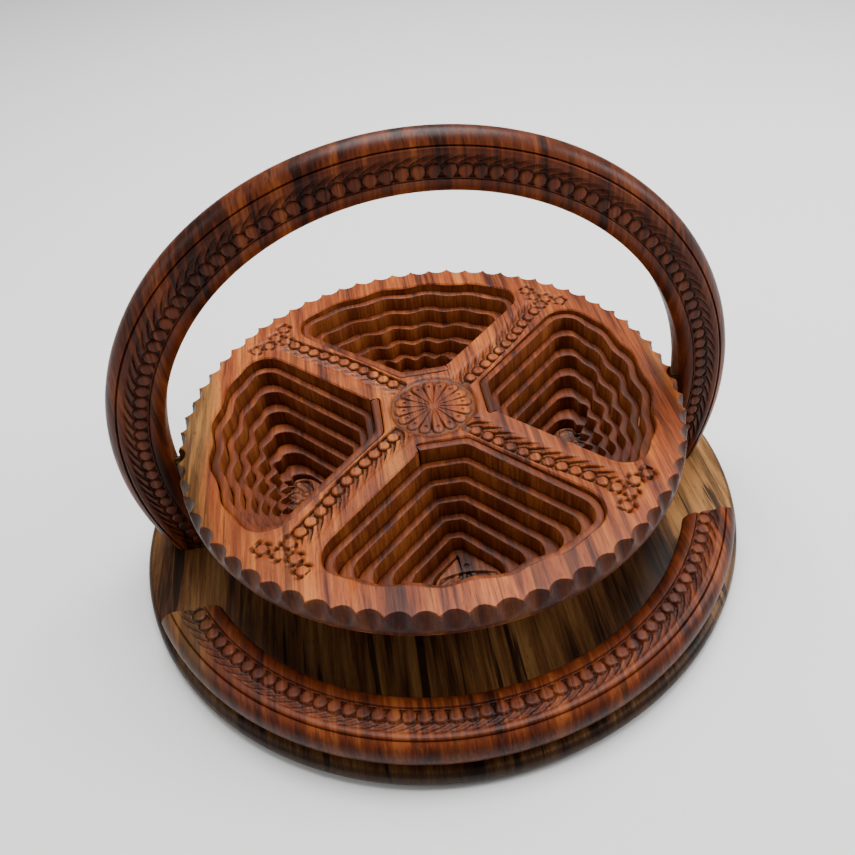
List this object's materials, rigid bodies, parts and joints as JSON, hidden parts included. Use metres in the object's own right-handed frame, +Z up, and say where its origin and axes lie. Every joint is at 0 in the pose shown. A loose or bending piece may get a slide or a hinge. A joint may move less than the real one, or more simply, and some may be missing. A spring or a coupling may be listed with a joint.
{
  "type": "folding spiral-cut wooden basket",
  "caption": "Folding carved wooden serving basket: round base, hoop handle and a tray whose spiral-cut wells drop open into stepped baskets.",
  "frame": {"origin": "middle of the base board's underside", "axes": "+Z up, +X along the pivot pins to the right, +Y to the back; the carved front arc is on the -Y side"},
  "size_m": [0.3, 0.3, 0.2098],
  "materials": {
    "base_wood": "satin lacquer",
    "ring_wood": "satin lacquer",
    "tray_wood": "satin lacquer",
    "turn_wood": "satin lacquer",
    "floor_wood": "satin lacquer",
    "brass": "satin"
  },
  "bodies": {
    "stand": {"base_board": "base_wood", "front_arc": "ring_wood", "tray": "tray_wood", "pivot_pin_left": "brass", "pivot_pin_right": "brass"},
    "handle": {"handle": "ring_wood"},
    "turns_1": {"front_turn_1": "turn_wood", "right_turn_1": "turn_wood", "back_turn_1": "turn_wood", "left_turn_1": "turn_wood"},
    "turns_2": {"front_turn_2": "turn_wood", "right_turn_2": "turn_wood", "back_turn_2": "turn_wood", "left_turn_2": "turn_wood"},
    "turns_3": {"front_turn_3": "turn_wood", "right_turn_3": "turn_wood", "back_turn_3": "turn_wood", "left_turn_3": "turn_wood"},
    "turns_4": {"front_turn_4": "turn_wood", "right_turn_4": "turn_wood", "back_turn_4": "turn_wood", "left_turn_4": "turn_wood"},
    "turns_5": {"front_turn_5": "turn_wood", "right_turn_5": "turn_wood", "back_turn_5": "turn_wood", "left_turn_5": "turn_wood"},
    "turns_6": {"front_turn_6": "turn_wood", "right_turn_6": "turn_wood", "back_turn_6": "turn_wood", "left_turn_6": "turn_wood"},
    "floors": {"front_floor": "floor_wood", "right_floor": "floor_wood", "back_floor": "floor_wood", "left_floor": "floor_wood"}
  },
  "joints": [
    {"name": "handle_swing", "type": "hinge", "parent": "stand", "child": "handle", "pos_m": [0, 0, 0.0623], "axis": [-1, 0, 0], "range_deg": [0, 90]},
    {"name": "turns_1_rise", "type": "slide", "parent": "stand", "child": "turns_1", "axis": [0, 0, 1], "range_m": [0, 0.0039]},
    {"name": "turns_2_rise", "type": "slide", "parent": "turns_1", "child": "turns_2", "axis": [0, 0, 1], "range_m": [0, 0.0078]},
    {"name": "turns_3_rise", "type": "slide", "parent": "turns_2", "child": "turns_3", "axis": [0, 0, 1], "range_m": [0, 0.0078]},
    {"name": "turns_4_rise", "type": "slide", "parent": "turns_3", "child": "turns_4", "axis": [0, 0, 1], "range_m": [0, 0.0078]},
    {"name": "turns_5_rise", "type": "slide", "parent": "turns_4", "child": "turns_5", "axis": [0, 0, 1], "range_m": [0, 0.0078]},
    {"name": "turns_6_rise", "type": "slide", "parent": "turns_5", "child": "turns_6", "axis": [0, 0, 1], "range_m": [0, 0.0078]},
    {"name": "floors_rise", "type": "slide", "parent": "turns_6", "child": "floors", "axis": [0, 0, 1], "range_m": [0, 0.0039]}
  ],
  "couplings": [
    {"joint": "turns_2_rise", "follows": "turns_1_rise", "ratio": 2},
    {"joint": "turns_3_rise", "follows": "turns_1_rise", "ratio": 2},
    {"joint": "turns_4_rise", "follows": "turns_1_rise", "ratio": 2},
    {"joint": "turns_5_rise", "follows": "turns_1_rise", "ratio": 2},
    {"joint": "turns_6_rise", "follows": "turns_1_rise", "ratio": 2},
    {"joint": "floors_rise", "follows": "turns_1_rise", "ratio": 1}
  ]
}
